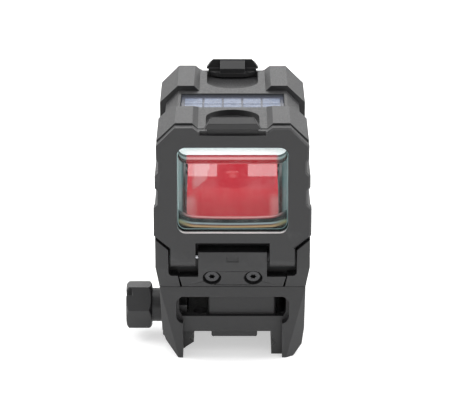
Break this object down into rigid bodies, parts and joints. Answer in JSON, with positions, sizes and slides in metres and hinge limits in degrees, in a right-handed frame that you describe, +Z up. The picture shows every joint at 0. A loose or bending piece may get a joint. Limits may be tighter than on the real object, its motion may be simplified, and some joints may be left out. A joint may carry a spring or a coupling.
{
  "type": "enclosed reflex red dot sight",
  "caption": "Enclosed reflex sight with hinged see-through covers, a red reflector lens, a solar panel and a clamp that grips an accessory rail.",
  "frame": {"origin": "middle of the flat seat that rests on the accessory rail's top", "axes": "+Z up, -Y towards the front cover and reflector lens, +X away from the clamp bolt"},
  "size_m": [0.0472, 0.059, 0.0643],
  "materials": {
    "anodised": "fine matt bead-blasted black anodising",
    "steel_black": "blackened steel, satin",
    "steel_bright": "plain bright steel",
    "rubber": "soft matt rubber",
    "glass": "coated optical glass",
    "pane": "clear hard-coated pane",
    "solar": "blue-grey solar cells under a clear window",
    "board": "green solder mask",
    "brass": "plain",
    "plastic": "black moulded plastic",
    "led": "tinted clear epoxy"
  },
  "bodies": {
    "sight": {"housing": "anodised", "mount_base": "anodised", "mount_screws": "steel_black", "base_seal": "rubber", "clamp_springs": "steel_bright", "clamp_guide_pins": "steel_bright", "front_lens": "glass", "rear_lens": "glass", "front_lens_seal": "rubber", "rear_lens_seal": "rubber", "anti_glare_plate": "plastic", "solar_panel": "solar", "solar_window": "pane", "circuit_board": "board", "board_screws": "steel_bright", "battery_contact": "brass", "button_switches": "steel_bright", "emitter_hood": "plastic", "windage_seal": "rubber", "elevation_seal": "rubber", "tray_seal": "rubber", "button_pad": "rubber", "front_hinge_block": "anodised", "front_hinge_screws": "steel_black", "front_hinge_pin": "steel_bright", "front_hinge_springs": "steel_bright", "rear_hinge_block": "anodised", "rear_hinge_screws": "steel_black", "rear_hinge_pin": "steel_bright", "rear_hinge_springs": "steel_bright"},
    "front_cover": {"front_cover_frame": "anodised", "front_cover_pane": "pane", "front_latch_tab": "anodised"},
    "rear_cover": {"rear_cover_frame": "anodised", "rear_cover_pane": "pane", "rear_latch_tab": "anodised"},
    "clamp_jaw": {"clamp_jaw": "anodised"},
    "clamp_bolt": {"clamp_bolt": "steel_black"},
    "windage_adjuster": {"windage_screw": "steel_black"},
    "elevation_adjuster": {"elevation_screw": "steel_black"},
    "emitter_slide": {"emitter_carriage": "steel_bright"},
    "emitter": {"emitter_block": "brass", "emitter_led": "led"},
    "battery_drawer": {"battery_tray": "anodised", "coin_cell": "steel_bright"},
    "plus_key": {"plus_button": "rubber"},
    "minus_key": {"minus_button": "rubber"}
  },
  "joints": [
    {"name": "front_cover_hinge", "type": "hinge", "parent": "sight", "child": "front_cover", "pos_m": [0, -0.027, 0.0217], "axis": [1, 0, 0], "range_deg": [0, 110]},
    {"name": "rear_cover_hinge", "type": "hinge", "parent": "sight", "child": "rear_cover", "pos_m": [0, 0.027, 0.0217], "axis": [-1, 0, 0], "range_deg": [0, 110]},
    {"name": "clamp_bolt_turn", "type": "hinge", "parent": "clamp_jaw", "child": "clamp_bolt", "pos_m": [-0.024, -0.01, 0.0024], "axis": [-1, 0, 0], "range_deg": [0, 1440]},
    {"name": "clamp_jaw_slide", "type": "slide", "parent": "sight", "child": "clamp_jaw", "axis": [-1, 0, 0], "range_m": [0, 0.0032]},
    {"name": "windage_turn", "type": "hinge", "parent": "sight", "child": "windage_adjuster", "pos_m": [0.018, 0.0163, 0.0269], "axis": [1, 0, 0], "range_deg": [-360, 360]},
    {"name": "elevation_turn", "type": "hinge", "parent": "sight", "child": "elevation_adjuster", "pos_m": [-0.018, 0.0163, 0.0269], "axis": [-1, 0, 0], "range_deg": [-360, 360]},
    {"name": "emitter_windage_slide", "type": "slide", "parent": "sight", "child": "emitter_slide", "axis": [1, 0, 0], "range_m": [-0.0004, 0.0004]},
    {"name": "emitter_elevation_slide", "type": "slide", "parent": "emitter_slide", "child": "emitter", "axis": [0, 0, 1], "range_m": [-0.0004, 0.0004]},
    {"name": "battery_tray_slide", "type": "slide", "parent": "sight", "child": "battery_drawer", "axis": [-1, 0, 0], "range_m": [0, 0.025]},
    {"name": "plus_button_press", "type": "slide", "parent": "sight", "child": "plus_key", "axis": [-1, 0, 0], "range_m": [0, 0.0006], "stiffness_N_per_m": 1500, "springref_m": -0.0003},
    {"name": "minus_button_press", "type": "slide", "parent": "sight", "child": "minus_key", "axis": [-1, 0, 0], "range_m": [0, 0.0006], "stiffness_N_per_m": 1500, "springref_m": -0.0003}
  ],
  "couplings": [
    {"joint": "clamp_bolt_turn", "follows": "clamp_jaw_slide", "rad_per_m": 7850},
    {"joint": "windage_turn", "follows": "emitter_windage_slide", "rad_per_m": 15700},
    {"joint": "elevation_turn", "follows": "emitter_elevation_slide", "rad_per_m": 15700}
  ]
}
